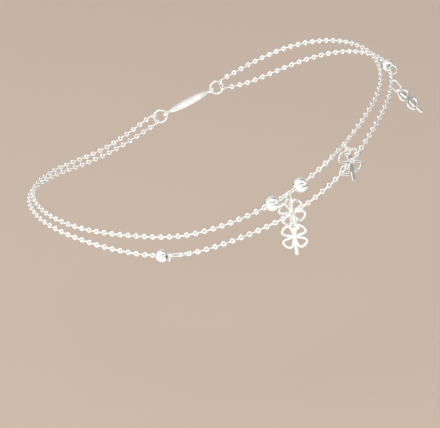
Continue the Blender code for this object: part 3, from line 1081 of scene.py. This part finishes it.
print("clasp body, mm:", round(body_length, 1), "long")

# %% Clasp eyes
CLASP_EYE_WIRE = 0.5
CLASP_EYE_SIDES = 32
CLASP_EYE_WIRE_SIDES = 12

clasp_parts = [clasp_body]
for side in (-1, 1):
    outside = CLASP_EYE_DIAMETER + CLASP_EYE_WIRE
    sides = (CLASP_EYE_SIDES, CLASP_EYE_WIRE_SIDES)
    eye = oval_torus(f"clasp_eye_{side}", outside, outside, CLASP_EYE_WIRE, *sides)
    eye.data.transform(Matrix.Rotation(math.radians(90), 4, "X"))
    eye.data.transform(Matrix.Translation((mm(side * clasp_reach), 0, 0)))
    clasp_parts.append(eye)
clasp_piece = join("clasp_closed", clasp_parts)
clasp_piece.data.transform(axes_matrix(clasp_middle, clasp_axis, clasp_out))
clasp_piece.data.materials.clear()
clasp_piece.data.materials.append(bright_silver)
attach(clasp_piece, "root")
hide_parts("clasp")
print("clasp faces:", len(clasp_piece.data.polygons))

# %% [markdown]
# ## The floor
# The anklet keeps its worn form, so it is held up over a plain pale floor, which the long lens
# shows as an even ground. A matt painted board has no gloss, so no lamp shows on it.

# %% Floor
FLOOR_HEX = "C4B2A2"
FLOOR_DEPTH = 62.0
FLOOR_SIZE = 6.0
FLOOR_ROUGHNESS = 0.85


def matt_plane(name, size, place, finish, colour_hex, roughness):
    """A level plane with a matt finish, sizes in metres."""
    deselect()
    bpy.ops.mesh.primitive_plane_add(size=size, location=place)
    plane = bpy.context.object
    plane.name = name
    material = bpy.data.materials.new(finish)
    material.use_nodes = True
    shader = material.node_tree.nodes["Principled BSDF"]
    shader.inputs["Base Color"].default_value = from_hex(colour_hex)
    shader.inputs["Roughness"].default_value = roughness
    plane.data.materials.append(material)
    return plane


floor_place = (0, 0, -mm(FLOOR_DEPTH))
matt_plane("floor", FLOOR_SIZE, floor_place, "matt painted board", FLOOR_HEX, FLOOR_ROUGHNESS)
print("floor below the origin, mm:", FLOOR_DEPTH)

# %% [markdown]
# ## Soft boxes
# Polished metal shows its surroundings, so jewellery is lit with what it should mirror. Two soft
# boxes above and to the left give the gentle highlights and light the floor. A third lies low, in
# front and to the left, facing up, and is hidden from the camera: what hangs mirrors it from below,
# so the lower halves of the balls and the faces of the two clovers nearest the camera turn white.
# Point lamps would give only small hard glints.

# %% Lamps
TOP_BOX = ((-0.25, -0.35, 0.8), (0.5, 0.5), 2.4)
LEFT_BOX = ((-0.85, -0.35, 0.3), (0.4, 0.4), 1.2)
LOW_BOX_PLACE = (-0.725, -0.77, -0.058)
LOW_BOX_SIZE = (1.75, 1.66)
LOW_BOX_POWER = 6.6
LOW_BOX_AIM = (*LOW_BOX_PLACE[:2], 1.0)


def soft_lamp(name, place, size, power, aim=(0, 0, 0)):
    """A soft box at a place in metres, with its size in metres, turned to face a point."""
    direction = Vector(aim) - Vector(place)
    bpy.ops.object.light_add(type="AREA", location=place)
    lamp = bpy.context.object
    lamp.name = name
    lamp.rotation_euler = direction.to_track_quat("-Z", "Y").to_euler()
    lamp.data.shape = "RECTANGLE"
    lamp.data.size, lamp.data.size_y = size
    lamp.data.energy = power
    print(name, "gives", power, "W")
    return lamp


deselect()
soft_lamp("top_box", *TOP_BOX)
soft_lamp("left_box", *LEFT_BOX)
low_box = soft_lamp("low_box", LOW_BOX_PLACE, LOW_BOX_SIZE, LOW_BOX_POWER, LOW_BOX_AIM)
low_box.visible_camera = False

# %% [markdown]
# ## A grey card under the anklet
# Silver would also mirror the floor, and a clover that faces down and to the right would then take
# the floor's own colour and vanish against it. A neutral grey card just under the low box stands in
# for the floor in reflections only. It gives that clover its grey face and the balls and wires the
# darker edges that draw them, and the camera doesn't see it.

# %% Grey card
CARD_HEX = "9E9C99"
CARD_SIZE = 2.0
CARD_PLACE = (0, 0.3, -0.0585)
CARD_ROUGHNESS = 0.9
CARD_HIDDEN_FROM = ("camera", "diffuse", "shadow", "transmission", "volume_scatter")

card = matt_plane("grey_card", CARD_SIZE, CARD_PLACE, "grey card", CARD_HEX, CARD_ROUGHNESS)
for kind in CARD_HIDDEN_FROM:
    setattr(card, f"visible_{kind}", False)
print("the card is hidden from:", ", ".join(CARD_HIDDEN_FROM))

# %% [markdown]
# ## The view transform
# The photograph is bright, and its whites run out to pure white. The Filmic and AgX transforms hold
# such whites back as greys, so the plain Standard transform is set.

# %% View transform
bpy.context.scene.view_settings.view_transform = "Standard"
print("view transform:", bpy.context.scene.view_settings.view_transform)

# %% [markdown]
# ## The room that the silver mirrors
# The world is a bright white room, since most of what the silver shows is white. A picture of a
# room could do this, but a few soft shapes made with nodes are enough, each dark where the silver
# should show grey: the far side is a little dimmer, a doorway high at the back draws the arcs over
# the balls, and a grey wall at the back right gives the fourth clover its grey face. A thin dark
# band in front and above, broken into patches, is the small dark mark in the middle of each ball.

# %% Sizes and places in the room
ROOM_HEX = "FFFFFF"
ROOM_LIGHT = 1.04
FAR_SIDE = (0.1, 0.85, 0.5)
FAR_SIDE_EDGES = (0.1, 0.9)
FAR_SIDE_LIGHT = 0.84
DOORWAY = (0.2, 0.5, 0.85)
DOORWAY_EDGES = (0.88, 0.97)
DOORWAY_LIGHT = 0.6
GREY_WALL = (0.65, 0.65, 0.38)
GREY_WALL_EDGES = (0.88, 0.97)
GREY_WALL_LIGHT = 0.45
BAND_RISE = 43.0
BAND_OFFSET = 0.05
BAND_THICKNESS = 0.085
BAND_REACH = 0.66
BAND_SOFT_END = 0.14
BAND_LIGHT = 0.08
PATCH_SCALE = 7.0
PATCH_EDGES = (0.40, 0.54)
PATCH_FAINTEST = 0.4

world = bpy.data.worlds.new("studio")
bpy.context.scene.world = world
world.use_nodes = True
room_tree = world.node_tree
room = room_tree.nodes["Background"]
room.inputs["Color"].default_value = from_hex(ROOM_HEX)
looking = add_node(room_tree, "ShaderNodeTexCoord").outputs["Generated"]
print("world:", world.name)


# %% Nodes that shape the room
def toward(direction):
    """How nearly a ray looks along a direction: 1 along it, 0 square to it."""
    settings = {"operation": "DOT_PRODUCT"}
    values = {1: Vector(direction).normalized()}
    node = add_node(room_tree, "ShaderNodeVectorMath", settings, values, {0: looking})
    return node.outputs["Value"]


def ramp(source, edges, at_low, at_high):
    """A value that goes smoothly from at_low to at_high while the source goes between the edges."""
    settings = {"interpolation_type": "SMOOTHSTEP"}
    low, high = edges
    values = {"From Min": low, "From Max": high, "To Min": at_low, "To Max": at_high}
    node = add_node(room_tree, "ShaderNodeMapRange", settings, values, {"Value": source})
    return node.outputs["Result"]


def math_node(operation, *sources):
    """One or two values through a Math node."""
    links = dict(enumerate(sources))
    return add_node(room_tree, "ShaderNodeMath", {"operation": operation}, (), links).outputs["Value"]


def dimmed(shade, direction, edges, light):
    """A shade that falls to this share of itself toward a direction."""
    return math_node("MULTIPLY", shade, ramp(toward(direction), edges, 1.0, light))


def band(middle, across):
    """How much of the thin band a ray sees: it is thin across one direction and ends at its reach."""
    off = math_node("ABSOLUTE", toward(across))
    thin = ramp(off, (BAND_THICKNESS, 2 * BAND_THICKNESS), 1.0, 0.0)
    short = ramp(toward(middle), (BAND_REACH, BAND_REACH + BAND_SOFT_END), 0.0, 1.0)
    return math_node("MULTIPLY", thin, short)


# %% Shade the room
rise = math.radians(BAND_RISE)
band_middle = (BAND_OFFSET, -math.cos(rise), math.sin(rise))
dark_band = band(band_middle, (0, math.sin(rise), math.cos(rise)))
patches = add_node(
    room_tree,
    "ShaderNodeTexNoise",
    values={"Scale": PATCH_SCALE, "Detail": 1.0},
    links={"Vector": looking},
)
patchy = ramp(patches.outputs["Fac"], PATCH_EDGES, PATCH_FAINTEST, 1.0)
dark_band = math_node("MULTIPLY", dark_band, patchy)
shade = ramp(toward(FAR_SIDE), FAR_SIDE_EDGES, ROOM_LIGHT, FAR_SIDE_LIGHT)
shade = dimmed(shade, DOORWAY, DOORWAY_EDGES, DOORWAY_LIGHT)
shade = dimmed(shade, GREY_WALL, GREY_WALL_EDGES, GREY_WALL_LIGHT)
shade = math_node("MULTIPLY", shade, ramp(dark_band, (0.0, 1.0), 1.0, BAND_LIGHT))
room_tree.links.new(shade, room.inputs["Strength"])
print("nodes in the room:", len(room_tree.nodes))
